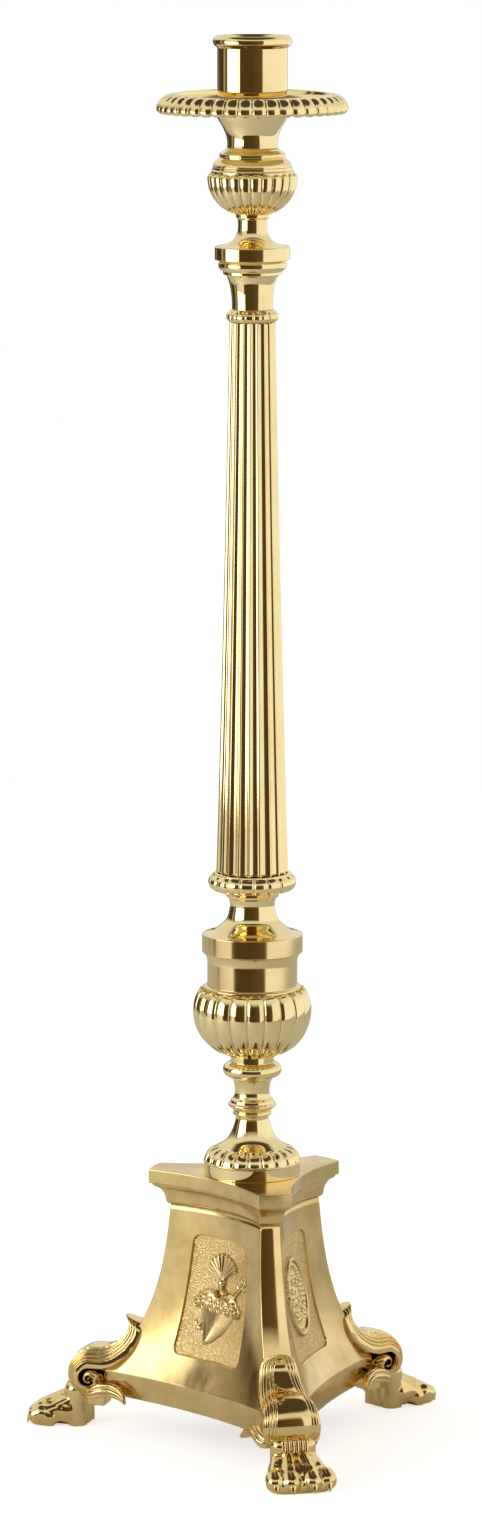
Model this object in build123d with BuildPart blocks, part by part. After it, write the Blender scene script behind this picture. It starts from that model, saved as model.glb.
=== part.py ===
"""Altar candlestick: a turned stem on a three-cornered base with paw feet, all clamped by one rod."""
import os
from math import cos, radians, sin, tan

from build123d import *

os.makedirs("parts", exist_ok=True)

# ---------------------------------------------------------------- driving dimensions, in millimetres
overall_height = 1000.0

# Rod that clamps the stack together
rod_radius = 5.0
rod_bottom = 160.0
rod_top = 960.5
rod_bore = 5.5
running_bore = 5.06
moving_gap = 0.3

# Heights where one piece of the stack ends and the next begins
body_bottom = 25.0
band_top = 42.0
body_top = 168.0
plate_bottom = 182.5
plate_top = 192.5
stem_foot_top = 233.0
baluster_top = 263.0
collar_top = 278.8
urn_top = 325.5
drum_top = 366.3
spool_top = 397.7
lower_ring_top = 410.5
column_top = 801.0
upper_ring_top = 809.5
cap_top = 853.6
neck_top = 876.0
knop_top = 909.0
cup_top = 951.0

# Three-cornered base: how far each flat corner stands from the axis, and how wide it is
corner_count = 3
front_angle = -90.0
corner_step = 360.0 / corner_count
body_top_reach = 59.0
body_band_reach = 108.5
body_top_corner = 14.0
body_band_corner = 22.0
body_sag = 10.0
flare_share = 0.25
flare_steps = 6
body_wall = 6.0

# Cornice: a cove under a flat plate
plate_reach = 74.0
plate_corner = 24.5
plate_sag = 11.0
cove_start = 1.5
cove_end = 3.0
cove_corner = 16.0
cove_steps = 4
ceiling = 180.0
lip_depth = 8.0
lip_thickness = 3.0

# Plaques let into the three faces
plaque_bottom = 62.0
plaque_top = 148.0
plaque_top_half = 28.5
plaque_bottom_half = 34.5
plaque_corner = 6.0
plaque_ground = 1.5
plaque_back = 3.5
plaque_clearance = 0.2
relief_height = 1.5
motif_height = 103.0

# Feet
volute_reach = 118.0
volute_height = 42.0
volute_radius = 20.0
strap_top = 84.5
strap_reach = 90.0
strap_lap = 3.0
strap_knee = 66.0
strap_knee_reach = 86.0
strap_back = 75.0
scroll_half_width = 21.0
sole_heel = 112.0
paw_toe = 168.0
paw_half_width = 26.5
ankle_top = 31.0
toe_radius = 6.8
foot_screw_radius = 3.0
foot_screw_height = 34.0

# Hollow castings of the stem: the urn opens into the drum, and the knop into the cup
hollow_radius = 28.0
knop_hollow_radius = 21.0
bottom_thickness = 8.0

# Column
column_bottom_radius = 25.5
column_middle_radius = 20.1
column_top_radius = 16.1
column_wall = 4.0
flute_count = 20
flute_radius_share = 0.17
flute_depth_share = 0.06
plug_height = 10.0

# Drip pan and candle socket
pan_radius = 67.0
pan_crest_radius = 53.7
pan_crest = 960.0
pan_rim_bottom = 946.5
pan_floor = 953.6
socket_radius = 24.5
candle_radius = 22.0
socket_floor = 961.0
lip_radius = 27.6
lip_bottom = 992.5


def export(piece, label):
    """Name one finished piece and write it to its own file."""
    piece.part.label = label
    export_step(piece.part, f"parts/{label}.step")


# ---------------------------------------------------------------- three-cornered base
def corner_ends(angle, reach, half_width):
    """The two ends of the flat corner that faces the given direction, in turning order."""
    first = Vector(reach, -half_width).rotate(Axis.Z, angle)
    last = Vector(reach, half_width).rotate(Axis.Z, angle)
    return first, last


def base_outline(height, reach, corner_width, sag, inset=0.0):
    """Flat face at one height: three flat corners joined by three edges that curve inward."""
    corner_reach = reach - inset
    half_width = corner_width / 2 - inset * tan(radians(30))
    edge_reach = corner_reach * cos(radians(60)) + half_width * sin(radians(60)) - sag
    with BuildSketch(Plane.XY.offset(height)) as outline:
        with BuildLine():
            for corner in range(corner_count):
                angle = front_angle + corner * corner_step
                first, last = corner_ends(angle, corner_reach, half_width)
                following = corner_ends(angle + corner_step, corner_reach, half_width)[0]
                middle = Vector(edge_reach, 0).rotate(Axis.Z, angle + corner_step / 2)
                Line(first, last)
                ThreePointArc(last, middle, following)
        make_face()
    return outline.sketch


def body_solid(inset):
    """The filled body, shrunk by the inset: a flare that widens faster lower down, on a band."""
    sections = []
    for step in range(flare_steps + 1):
        fall = step / flare_steps
        height = body_top - fall * (body_top - band_top)
        flare = flare_share * fall + (1 - flare_share) * fall**3
        reach = body_top_reach + flare * (body_band_reach - body_top_reach)
        width = body_top_corner + fall * (body_band_corner - body_top_corner)
        sections.append(base_outline(height, reach, width, body_sag, inset))
    with BuildPart() as solid:
        loft(sections)
        extrude(sections[-1], amount=body_bottom - band_top)
    return solid.part


def face_plane(face_angle):
    """Upright plane outside one face, looking at the axis: x to the right, y up."""
    outward = Vector(1, 0, 0).rotate(Axis.Z, face_angle)
    across = Vector(0, 1, 0).rotate(Axis.Z, face_angle)
    return Plane(origin=outward * body_band_reach, x_dir=across, z_dir=outward)


def panel_prism(face_angle, grow):
    """Rounded trapezoid pushed through one face, larger all round by the given amount."""
    with BuildPart() as prism:
        with BuildSketch(face_plane(face_angle)) as panel:
            with BuildLine():
                Polyline(
                    (-plaque_bottom_half, plaque_bottom),
                    (plaque_bottom_half, plaque_bottom),
                    (plaque_top_half, plaque_top),
                    (-plaque_top_half, plaque_top),
                    close=True,
                )
            make_face()
            fillet(panel.vertices(), radius=plaque_corner)
            if grow:
                offset(amount=grow)
        extrude(amount=-body_band_reach)
    return prism.part


outer_body = body_solid(0)
inner_body = body_solid(body_wall)
ground_body = body_solid(plaque_ground)
back_body = body_solid(plaque_back)
relief_body = body_solid(-relief_height)

left_face = front_angle - corner_step / 2
right_face = front_angle + corner_step / 2
rear_face = front_angle + corner_step * 1.5

# Screws that hold the plaques, driven outward from inside the body, two to a plaque
plaque_screw_radius = 1.5
plaque_screw_head = 3.0
plaque_screw_heights = (80.0, 132.0)
plaque_screw_depth = 1.2

screw_lines = []
for face_angle in (left_face, right_face, rear_face):
    for height in plaque_screw_heights:
        outward = Vector(1, 0, 0).rotate(Axis.Z, face_angle)
        screw_lines.append(Plane(origin=Vector(0, 0, height), z_dir=outward))

screw_end_body = body_solid(plaque_back - plaque_screw_depth)
head_top_body = body_solid(body_wall + 2.0)

with BuildPart() as plaque_screws:
    for line in screw_lines:
        with BuildSketch(line):
            Circle(plaque_screw_head)
        extrude(amount=body_band_reach)
    add(inner_body, mode=Mode.INTERSECT)
    for line in screw_lines:
        with BuildSketch(line):
            Circle(plaque_screw_radius)
        extrude(amount=body_band_reach)
    add(screw_end_body, mode=Mode.INTERSECT)
    add(head_top_body, mode=Mode.SUBTRACT)
export(plaque_screws, "plaque_screws")

with BuildPart() as panel_pockets:
    for face_angle in (left_face, right_face, rear_face):
        add(panel_prism(face_angle, plaque_clearance))
    add(back_body, mode=Mode.SUBTRACT)

# Screws that hold the feet run outward through the corners
foot_screw_lines = []
for corner in range(corner_count):
    outward = Vector(1, 0, 0).rotate(Axis.Z, front_angle + corner * corner_step)
    foot_screw_lines.append(Plane(origin=Vector(0, 0, foot_screw_height), z_dir=outward))

corner_inside = body_band_reach - body_wall
foot_screw_reach = 124.0
foot_screw_head = 5.0
foot_screw_head_length = 4.0
washer_thickness = 1.5
washer_radius = 6.5
foot_hole_clearance = 0.3

with BuildPart() as base_body:
    add(outer_body)
    add(inner_body, mode=Mode.SUBTRACT)
    add(panel_pockets.part, mode=Mode.SUBTRACT)
    add(plaque_screws.part, mode=Mode.SUBTRACT)
    for line in foot_screw_lines:
        with BuildSketch(line):
            Circle(foot_screw_radius + foot_hole_clearance)
        extrude(amount=foot_screw_reach, mode=Mode.SUBTRACT)
export(base_body, "base_body")

with BuildPart() as base_cornice:
    cove_sections = []
    for step in range(cove_steps + 1):
        rise = step / cove_steps
        height = body_top + rise * (plate_bottom - body_top)
        sweep_out = 1 - cos(radians(90) * rise)
        low_reach = body_top_reach + cove_start
        reach = low_reach + sweep_out * (plate_reach - cove_end - low_reach)
        width = cove_corner + sweep_out * (plate_corner - cove_corner)
        cove_sections.append(base_outline(height, reach, width, plate_sag))
    loft(cove_sections)
    extrude(base_outline(plate_bottom, plate_reach, plate_corner, plate_sag), amount=plate_top - plate_bottom)
    hollow = base_outline(body_top, body_top_reach, body_top_corner, body_sag, body_wall)
    extrude(hollow, amount=ceiling - body_top, mode=Mode.SUBTRACT)
    lip_outside = body_wall + moving_gap
    lip = base_outline(body_top, body_top_reach, body_top_corner, body_sag, lip_outside)
    lip_hollow = base_outline(body_top, body_top_reach, body_top_corner, body_sag, lip_outside + lip_thickness)
    extrude(lip, amount=ceiling - body_top)
    extrude(lip, amount=-lip_depth)
    extrude(lip_hollow, amount=ceiling - body_top, mode=Mode.SUBTRACT)
    extrude(lip_hollow, amount=-lip_depth, mode=Mode.SUBTRACT)
    with BuildSketch(Plane.XY.offset(ceiling)):
        Circle(rod_bore)
    extrude(amount=plate_top - ceiling, mode=Mode.SUBTRACT)
export(base_cornice, "base_cornice")

# ---------------------------------------------------------------- plaques
def motif_prism(face_angle, motif):
    """Push a flat motif, drawn upright with its centre at zero, through one face."""
    with BuildPart() as prism:
        with BuildSketch(face_plane(face_angle)):
            with Locations((0, motif_height)):
                add(motif)
        extrude(amount=-body_band_reach)
    return prism.part


# Flaming heart: a tapering heart, a ring of thorns around it and a plume of flame above
heart_width = 38.0
heart_height = 40.0
plume_width = 31.0
plume_height = 20.0
arrow_length = 50.0
arrow_width = 3.0
arrow_slant = 40.0
with BuildSketch() as heart_motif:
    with BuildLine():
        tip = (-6, -heart_height / 2 - 10)
        crown_left = (-heart_width / 2, 4)
        crown_right = (heart_width / 2, 6)
        ThreePointArc(tip, (-heart_width / 2 + 2, -10), crown_left)
        ThreePointArc(crown_left, (0, 14), crown_right)
        ThreePointArc(crown_right, (heart_width / 2 - 5, -14), tip)
    make_face()
    with Locations((-2, 23)):
        Trapezoid(plume_width, plume_height, 115, rotation=180)
    with Locations((2, 2)):
        Rectangle(arrow_length, arrow_width, rotation=arrow_slant)

# Oval medallion: a raised frame around a low boss
medallion_width = 39.0
medallion_height = 57.0
medallion_rim = 4.0
medallion_boss = 25.0
with BuildSketch() as medallion_motif:
    Ellipse(medallion_width / 2, medallion_height / 2)
    Ellipse(medallion_width / 2 - medallion_rim, medallion_height / 2 - medallion_rim, mode=Mode.SUBTRACT)
    Ellipse(medallion_boss / 2, medallion_boss * 0.7)

# Rosette: petals around a centre
petal_count = 8
petal_ring = 13.0
petal_radius = 6.0
with BuildSketch() as rosette_motif:
    Circle(petal_ring)
    with PolarLocations(petal_ring, petal_count):
        Circle(petal_radius)


def plaque_piece(face_angle, motif):
    """A curved panel that lies in its pocket, with its motif standing on it, held by two hidden screws."""
    with BuildPart() as raised:
        add(relief_body)
        add(motif_prism(face_angle, motif), mode=Mode.INTERSECT)
        add(back_body, mode=Mode.SUBTRACT)
    with BuildPart() as plaque:
        add(ground_body)
        add(panel_prism(face_angle, 0), mode=Mode.INTERSECT)
        add(back_body, mode=Mode.SUBTRACT)
        add(raised.part)
        add(plaque_screws.part, mode=Mode.SUBTRACT)
    return plaque


heart_plaque = plaque_piece(left_face, heart_motif.sketch)
export(heart_plaque, "heart_plaque")

medallion_plaque = plaque_piece(right_face, medallion_motif.sketch)
export(medallion_plaque, "medallion_plaque")

rear_plaque = plaque_piece(rear_face, rosette_motif.sketch)
export(rear_plaque, "rear_plaque")

# ---------------------------------------------------------------- feet
side_view = Plane(origin=(0, 0, 0), x_dir=(0, -1, 0), z_dir=(-1, 0, 0))

# Paw: side outline pushed across, cut to its outline from above, with a row of toes along the front
toe_count = 4
toe_spread = 38.0
toe_setback = 6.0
with BuildPart() as paw:
    with BuildSketch(side_view):
        with BuildLine():
            heel = Polyline((paw_toe - 1, 0), (sole_heel, 0), (sole_heel, ankle_top - 5), (118, ankle_top))
            instep = Spline((132, ankle_top), (139, 25), (151, 18.5), (163, 13.5))
            Line(heel @ 1, instep @ 0)
            ThreePointArc(instep @ 1, (paw_toe, 7), heel @ 0)
        make_face()
    extrude(amount=paw_half_width, both=True)
    with BuildSketch(Plane.XY):
        with BuildLine():
            edge = Spline((13, -sole_heel), (17, -118), (17.5, -130), (24, -144), (paw_half_width, -155), (15, -166))
            Line((0, -sole_heel), edge @ 0)
            Line(edge @ 1, (0, -paw_toe))
            mirror(about=Plane.YZ)
        make_face()
    extrude(amount=ankle_top, mode=Mode.INTERSECT)
    for toe in range(toe_count):
        side = toe / (toe_count - 1) * 2 - 1
        forward = paw_toe - toe_radius - toe_setback * side**2
        with Locations((side * toe_spread / 2, -forward, toe_radius + 0.2)):
            Sphere(toe_radius)

# Scroll: a strap that leans on the corner and rolls into a volute, narrowed to its outline from the front
with BuildPart() as scroll:
    with BuildSketch(side_view):
        with BuildLine():
            crest = Spline(
                (strap_reach, strap_top),
                (strap_reach - 3.5, 74),
                (95, 67.5),
                (107, 64),
                (volute_reach, volute_height + volute_radius),
                tangents=((-0.6, -1), (1, 0)),
            )
            Polyline(
                crest @ 1,
                (volute_reach, volute_height - volute_radius),
                (body_band_reach, body_bottom),
                (body_band_reach - strap_lap, body_bottom),
                (body_band_reach - strap_lap, band_top),
                (strap_knee_reach, strap_knee),
                (strap_back, strap_top),
                crest @ 0,
            )
        make_face()
        with Locations((volute_reach, volute_height)):
            Circle(volute_radius)
    extrude(amount=scroll_half_width, both=True)
    with BuildSketch(Plane.XZ):
        with BuildLine():
            edge = Spline((0, strap_top), (10, 81), (14, 74), (18, 58), (scroll_half_width, 42), (17, 22))
            Line(edge @ 1, (0, 22))
            mirror(about=Plane.YZ)
        make_face()
    extrude(amount=paw_toe, mode=Mode.INTERSECT)

# Lug: a tongue that reaches back under the edge of the body
lug_length = 24.0
lug_width = 16.0
lug_height = 10.0
with BuildPart() as front_foot_shape:
    add(scroll.part)
    add(paw.part)
    with Locations((0, -sole_heel + 4, body_bottom)):
        Box(lug_width, lug_length, lug_height, align=(Align.CENTER, Align.MIN, Align.MAX))
    add(outer_body, mode=Mode.SUBTRACT)
    with BuildSketch(foot_screw_lines[0]):
        Circle(foot_screw_radius)
    extrude(amount=foot_screw_reach, mode=Mode.SUBTRACT)

for corner, label in enumerate(("foot_front", "foot_right", "foot_left")):
    with BuildPart() as foot:
        with Locations(Rotation(0, 0, corner * corner_step)):
            add(front_foot_shape.part)
    export(foot, label)

with BuildPart() as foot_screws:
    for line in foot_screw_lines:
        with BuildSketch(line.offset(corner_inside - washer_thickness)):
            Circle(foot_screw_radius)
        extrude(amount=foot_screw_reach - corner_inside + washer_thickness)
        with BuildSketch(line.offset(corner_inside - washer_thickness)):
            RegularPolygon(foot_screw_head, 6)
        extrude(amount=-foot_screw_head_length)
export(foot_screws, "foot_screws")

with BuildPart() as foot_washers:
    for line in foot_screw_lines:
        with BuildSketch(line.offset(corner_inside)):
            Circle(washer_radius)
            Circle(foot_screw_radius + foot_hole_clearance, mode=Mode.SUBTRACT)
        extrude(amount=-washer_thickness)
    add(outer_body, mode=Mode.INTERSECT)
export(foot_washers, "foot_washers")

# ---------------------------------------------------------------- turned stem, from the base upward
with BuildPart() as stem_foot:
    with BuildSketch(Plane.XZ):
        with BuildLine():
            skirt = Polyline((29, plate_top), (34.4, plate_top), (34.4, 202.5))
            dome = ThreePointArc(skirt @ 1, (32.2, 207.8), (24.4, 212))
            Line(dome @ 1, (24.4, 213.2))
            bell = Spline((24.4, 213.2), (17.9, 217.6), (14.2, 224.5), (11.6, stem_foot_top))
            Polyline(
                bell @ 1,
                (rod_bore, stem_foot_top),
                (rod_bore, plate_top + 17),
                (22, plate_top + 12),
                (28, plate_top + 8),
                skirt @ 0,
            )
        make_face()
    revolve(axis=Axis.Z)
export(stem_foot, "stem_foot")

with BuildPart() as lower_baluster:
    with BuildSketch(Plane.XZ):
        with BuildLine():
            ring = Polyline(
                (rod_bore, stem_foot_top),
                (11.6, stem_foot_top),
                (12.4, 237),
                (14.5, 238.4),
                (14.5, 240.5),
                (17.1, 240.8),
                (17.1, 243.4),
                (14.4, 245.5),
            )
            waist = Spline(ring @ 1, (12.2, 251.3), (13.3, 259.5), (14.5, baluster_top))
            Polyline(waist @ 1, (rod_bore, baluster_top), ring @ 0)
        make_face()
    revolve(axis=Axis.Z)
export(lower_baluster, "lower_baluster")

with BuildPart() as collar_knop:
    with BuildSketch(Plane.XZ):
        with BuildLine():
            seat = Line((rod_bore, baluster_top), (17, baluster_top))
            bulge = ThreePointArc(seat @ 1, (21, 267.8), (17, 273))
            Polyline(bulge @ 1, (15.3, 273.6), (15.3, collar_top), (rod_bore, collar_top), seat @ 0)
        make_face()
    revolve(axis=Axis.Z)
export(collar_knop, "collar_knop")

with BuildPart() as lower_urn:
    with BuildSketch(Plane.XZ):
        with BuildLine():
            seat = Line((rod_bore, collar_top), (18.4, collar_top))
            bowl = ThreePointArc(seat @ 1, (34.6, 289.8), (41.8, 313))
            shoulder = ThreePointArc(bowl @ 1, (40.2, 320.6), (34.5, urn_top))
            rim = Line(shoulder @ 1, (hollow_radius, urn_top))
            inside = ThreePointArc(rim @ 1, (31, 302), (14, collar_top + bottom_thickness))
            Polyline(inside @ 1, (rod_bore, collar_top + bottom_thickness), seat @ 0)
        make_face()
    revolve(axis=Axis.Z)
export(lower_urn, "lower_urn")

with BuildPart() as lower_drum:
    with BuildSketch(Plane.XZ):
        with BuildLine():
            wall = Polyline(
                (hollow_radius, urn_top),
                (34.5, urn_top),
                (34.5, 328.5),
                (32, 329.5),
                (32, 345),
            )
            cove = ThreePointArc(wall @ 1, (32.6, 349.5), (34.4, 353))
            Polyline(
                cove @ 1,
                (35.8, 354),
                (35.8, drum_top),
                (rod_bore, drum_top),
                (rod_bore, drum_top - bottom_thickness),
                (hollow_radius, drum_top - bottom_thickness),
                wall @ 0,
            )
        make_face()
    revolve(axis=Axis.Z)
export(lower_drum, "lower_drum")

with BuildPart() as lower_spool:
    with BuildSketch(Plane.XZ):
        with BuildLine():
            seat = Polyline((rod_bore, drum_top), (29, drum_top), (29, drum_top + 1))
            waist = Spline(seat @ 1, (23, 372.6), (18.5, 377.4), (15.9, 386.5), (18.7, 394.4), (22.5, spool_top))
            Polyline(waist @ 1, (rod_bore, spool_top), seat @ 0)
        make_face()
    revolve(axis=Axis.Z)
export(lower_spool, "lower_spool")

with BuildPart() as lower_bead_ring:
    with BuildSketch(Plane.XZ):
        with BuildLine():
            seat = Line((rod_bore, spool_top), (24, spool_top))
            bead = ThreePointArc(seat @ 1, (31.2, 404.2), (27, lower_ring_top))
            Polyline(bead @ 1, (rod_bore, lower_ring_top), seat @ 0)
        make_face()
    revolve(axis=Axis.Z)
export(lower_bead_ring, "lower_bead_ring")

column_middle = (lower_ring_top + column_top) / 2
with BuildPart() as column_tube:
    with BuildSketch(Plane.XZ):
        with BuildLine():
            outside = ThreePointArc(
                (column_bottom_radius, lower_ring_top),
                (column_middle_radius, column_middle),
                (column_top_radius, column_top),
            )
            inside = ThreePointArc(
                (column_bottom_radius - column_wall, lower_ring_top),
                (column_middle_radius - column_wall, column_middle),
                (column_top_radius - column_wall, column_top),
            )
            Line(outside @ 0, inside @ 0)
            Line(outside @ 1, inside @ 1)
        make_face()
    revolve(axis=Axis.Z)
    # One round-bottomed flute, narrowing with the column, then all of them round the axis
    flute_sections = []
    for height, radius in (
        (lower_ring_top, column_bottom_radius),
        (column_middle, column_middle_radius),
        (column_top, column_top_radius),
    ):
        flute_radius = radius * flute_radius_share
        with BuildSketch(Plane.XY.offset(height)) as flute_section:
            with Locations((radius * (1 - flute_depth_share) + flute_radius, 0)):
                Circle(flute_radius)
        flute_sections.append(flute_section.sketch)
    with BuildPart(mode=Mode.PRIVATE) as flute:
        loft(flute_sections)
    with PolarLocations(0, flute_count):
        add(flute.part, mode=Mode.SUBTRACT)
export(column_tube, "column_tube")

# Discs that centre the rod in the two ends of the hollow column
plug_clearance = 0.6
with BuildPart() as column_plug_lower:
    with BuildSketch(Plane.XY.offset(lower_ring_top)):
        Circle(column_bottom_radius - column_wall - plug_clearance)
        Circle(rod_bore, mode=Mode.SUBTRACT)
    extrude(amount=plug_height)
export(column_plug_lower, "column_plug_lower")

with BuildPart() as column_plug_upper:
    with BuildSketch(Plane.XY.offset(column_top)):
        Circle(column_top_radius - column_wall - plug_clearance / 2)
        Circle(rod_bore, mode=Mode.SUBTRACT)
    extrude(amount=-plug_height)
export(column_plug_upper, "column_plug_upper")

with BuildPart() as upper_bead_ring:
    with BuildSketch(Plane.XZ):
        with BuildLine():
            seat = Line((rod_bore, column_top), (15.8, column_top))
            bead = ThreePointArc(seat @ 1, (18.3, 805.2), (15.2, upper_ring_top))
            Polyline(bead @ 1, (rod_bore, upper_ring_top), seat @ 0)
        make_face()
    revolve(axis=Axis.Z)
export(upper_bead_ring, "upper_bead_ring")

with BuildPart() as column_cap:
    with BuildSketch(Plane.XZ):
        with BuildLine():
            seat = Line((rod_bore, upper_ring_top), (14.4, upper_ring_top))
            bell = Spline(seat @ 1, (14.9, 820), (17.3, 831.3), (18.2, 834))
            step = Polyline(bell @ 1, (20.5, 834.3), (20.5, 836.2), (21.8, 836.8))
            ovolo = ThreePointArc(step @ 1, (23.9, 841), (22.8, 844))
            Polyline(ovolo @ 1, (26.3, 844), (26.3, 853), (25.5, cap_top), (rod_bore, cap_top), seat @ 0)
        make_face()
    revolve(axis=Axis.Z)
export(column_cap, "column_cap")

with BuildPart() as upper_spool:
    with BuildSketch(Plane.XZ):
        with BuildLine():
            seat = Line((rod_bore, cap_top), (24, cap_top))
            neck = Spline(seat @ 1, (13.8, 857.8), (10.9, 862), (10.1, 867.5), (11, neck_top))
            Polyline(neck @ 1, (rod_bore, neck_top), seat @ 0)
        make_face()
    revolve(axis=Axis.Z)
export(upper_spool, "upper_spool")

with BuildPart() as upper_knop:
    with BuildSketch(Plane.XZ):
        with BuildLine():
            seat = Line((rod_bore, neck_top), (12, neck_top))
            bowl = ThreePointArc(seat @ 1, (25.8, 885), (31.4, 899.5))
            shoulder = ThreePointArc(bowl @ 1, (30.8, 905), (27.5, knop_top))
            rim = Line(shoulder @ 1, (knop_hollow_radius, knop_top))
            inside = ThreePointArc(rim @ 1, (22.5, 895), (10, neck_top + bottom_thickness))
            Polyline(inside @ 1, (rod_bore, neck_top + bottom_thickness), seat @ 0)
        make_face()
    revolve(axis=Axis.Z)
export(upper_knop, "upper_knop")

with BuildPart() as pan_cup:
    with BuildSketch(Plane.XZ):
        with BuildLine():
            foot_ring = Polyline(
                (knop_hollow_radius, knop_top),
                (28, knop_top),
                (25.5, 913.5),
                (22, 916.3),
                (22, 919.2),
                (18.3, 921.8),
            )
            flare = Spline(foot_ring @ 1, (17.6, 925), (18.4, 930.5), (21, 937), (25, 943.8), (27, 948.5))
            Polyline(
                flare @ 1,
                (27, cup_top),
                (rod_bore, cup_top),
                (rod_bore, 936),
                (12.5, 930),
                (13.5, 917),
                foot_ring @ 0,
            )
        make_face()
    revolve(axis=Axis.Z)
export(pan_cup, "pan_cup")

# ---------------------------------------------------------------- rod and its fastening under the cornice
with BuildPart() as tie_rod:
    with BuildSketch(Plane.XY.offset(rod_bottom)):
        Circle(rod_radius)
    extrude(amount=rod_top - rod_bottom)
    chamfer(tie_rod.edges().group_by(Axis.Z)[0], length=1)
export(tie_rod, "tie_rod")

rod_washer_radius = 15.0
rod_washer_thickness = 2.5
with BuildPart() as rod_washer:
    with BuildSketch(Plane.XY.offset(ceiling)):
        Circle(rod_washer_radius)
        Circle(rod_bore, mode=Mode.SUBTRACT)
    extrude(amount=-rod_washer_thickness)
export(rod_washer, "rod_washer")

rod_nut_corner = 9.8
rod_nut_height = 8.0
with BuildPart() as rod_nut:
    with BuildSketch(Plane.XY.offset(ceiling - rod_washer_thickness)):
        RegularPolygon(rod_nut_corner, 6)
        Circle(rod_radius, mode=Mode.SUBTRACT)
    extrude(amount=-rod_nut_height)
export(rod_nut, "rod_nut")

# ---------------------------------------------------------------- drip pan and candle socket
pan_underside = cup_top + moving_gap
with BuildPart() as drip_pan:
    with BuildSketch(Plane.XZ):
        with BuildLine():
            under = Polyline(
                (running_bore, pan_underside),
                (pan_crest_radius - 1.5, pan_underside),
                (57, pan_rim_bottom + 1),
                (63, pan_rim_bottom),
            )
            edge = ThreePointArc(under @ 1, (66.2, 947.2), (pan_radius, 949.5))
            crown = ThreePointArc(edge @ 1, (63, 957), (pan_crest_radius, pan_crest))
            Polyline(crown @ 1, (52.3, 958.6), (51.5, pan_floor), (running_bore, pan_floor), under @ 0)
        make_face()
    revolve(axis=Axis.Z)
export(drip_pan, "drip_pan")

lip_round = 2.6
with BuildPart() as candle_socket:
    with BuildSketch(Plane.XZ):
        with BuildLine():
            outside = Polyline(
                (running_bore, pan_floor + moving_gap),
                (socket_radius, pan_floor + moving_gap),
                (socket_radius, lip_bottom),
                (lip_radius - lip_round, lip_bottom),
            )
            under_lip = ThreePointArc(outside @ 1, (lip_radius - 0.7, lip_bottom + 0.9), (lip_radius, lip_bottom + 3.2))
            lip_line = Line(under_lip @ 1, (lip_radius, overall_height - lip_round))
            over_lip = ThreePointArc(
                lip_line @ 1, (lip_radius - 0.8, overall_height - 0.8), (lip_radius - lip_round, overall_height)
            )
            Polyline(
                over_lip @ 1,
                (candle_radius + 0.8, overall_height),
                (candle_radius, overall_height - 0.8),
                (candle_radius, socket_floor),
                (running_bore, socket_floor),
                outside @ 0,
            )
        make_face()
    revolve(axis=Axis.Z)
export(candle_socket, "candle_socket")
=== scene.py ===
"""Looks of the altar candlestick: turned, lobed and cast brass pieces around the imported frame."""

from math import atan2, cos, degrees, exp, hypot, pi, radians, sin, sqrt, tan

import bmesh
import bpy
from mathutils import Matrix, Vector


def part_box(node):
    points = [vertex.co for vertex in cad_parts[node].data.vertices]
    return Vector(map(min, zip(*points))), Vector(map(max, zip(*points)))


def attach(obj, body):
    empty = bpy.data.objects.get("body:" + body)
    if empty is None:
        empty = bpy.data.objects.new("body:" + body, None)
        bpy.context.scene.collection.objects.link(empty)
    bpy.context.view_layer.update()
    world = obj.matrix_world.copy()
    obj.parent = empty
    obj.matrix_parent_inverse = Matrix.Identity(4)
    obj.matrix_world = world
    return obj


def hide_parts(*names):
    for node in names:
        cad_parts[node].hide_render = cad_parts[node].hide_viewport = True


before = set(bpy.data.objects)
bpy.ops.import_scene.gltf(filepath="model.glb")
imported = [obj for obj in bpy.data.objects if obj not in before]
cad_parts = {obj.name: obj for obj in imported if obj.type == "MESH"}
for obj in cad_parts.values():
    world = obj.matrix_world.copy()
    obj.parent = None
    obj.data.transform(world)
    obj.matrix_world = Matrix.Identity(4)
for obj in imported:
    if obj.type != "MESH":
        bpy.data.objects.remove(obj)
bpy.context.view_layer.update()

MM = 0.001


def low(node):
    """Lowest height of a CAD node, in millimetres."""
    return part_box(node)[0].z / MM


def high(node):
    """Highest height of a CAD node, in millimetres."""
    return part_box(node)[1].z / MM


# ------------ driving dimensions, in millimetres
# Turned pieces: the hole for the rod, the rounding of edges, and the turn in degrees that makes an edge
rod_bore = 5.5
edge_round = 0.45
sharp_turn = 22.0
tiny = 1e-6

# Three-cornered base
corner_count = 3
front_angle = -90.0
corner_step = 360.0 / corner_count
half_step = radians(corner_step / 2)
corner_slant = radians(90 - corner_step / 2)
body_bottom = low("base_body")
band_top = 42.0
body_top = high("base_body")
body_top_reach = 59.0
body_band_reach = 108.5
body_top_corner = 14.0
body_band_corner = 22.0
body_sag = 10.0
flare_share = 0.25
body_wall = 6.0
corner_swell = 0.8
corner_points = 9
corner_ease = 1.1

plate_bottom = 182.5
plate_top = high("base_cornice")
plate_reach = 74.0
plate_corner = 24.5
plate_sag = 11.0
cove_corner = 16.0
cove_reach = 60.0
cove_top = 180.3
cove_drop = 9.4
cove_slope = 1.2
cove_inner_reach = 62.2
cove_depth = 8.0
cove_steps = 8
ceiling = 180.0

# Panels and plaques
plaque_bottom = low("heart_plaque")
plaque_top = high("heart_plaque")
plaque_top_half = 28.5
plaque_bottom_half = 34.5
plaque_corner = 6.0
plaque_ground = 1.5
plaque_back = 3.5
plaque_gap = 0.2
panel_fade = 9.0
pocket_lip = 0.12
pocket_row = 0.25


# ------------ mesh tools
def solid(name, verts, faces):
    """A smooth-shaded mesh object from points in millimetres."""
    mesh = bpy.data.meshes.new(name)
    mesh.from_pydata([tuple(c * MM for c in v) for v in verts], [], faces)
    mesh.validate()
    mesh.shade_smooth()
    piece = bpy.data.objects.new(name, mesh)
    bpy.context.scene.collection.objects.link(piece)
    return piece


def turns(count):
    """Evenly spaced angles round a full circle, in radians."""
    return [2 * pi * k / count for k in range(count)]


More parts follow.
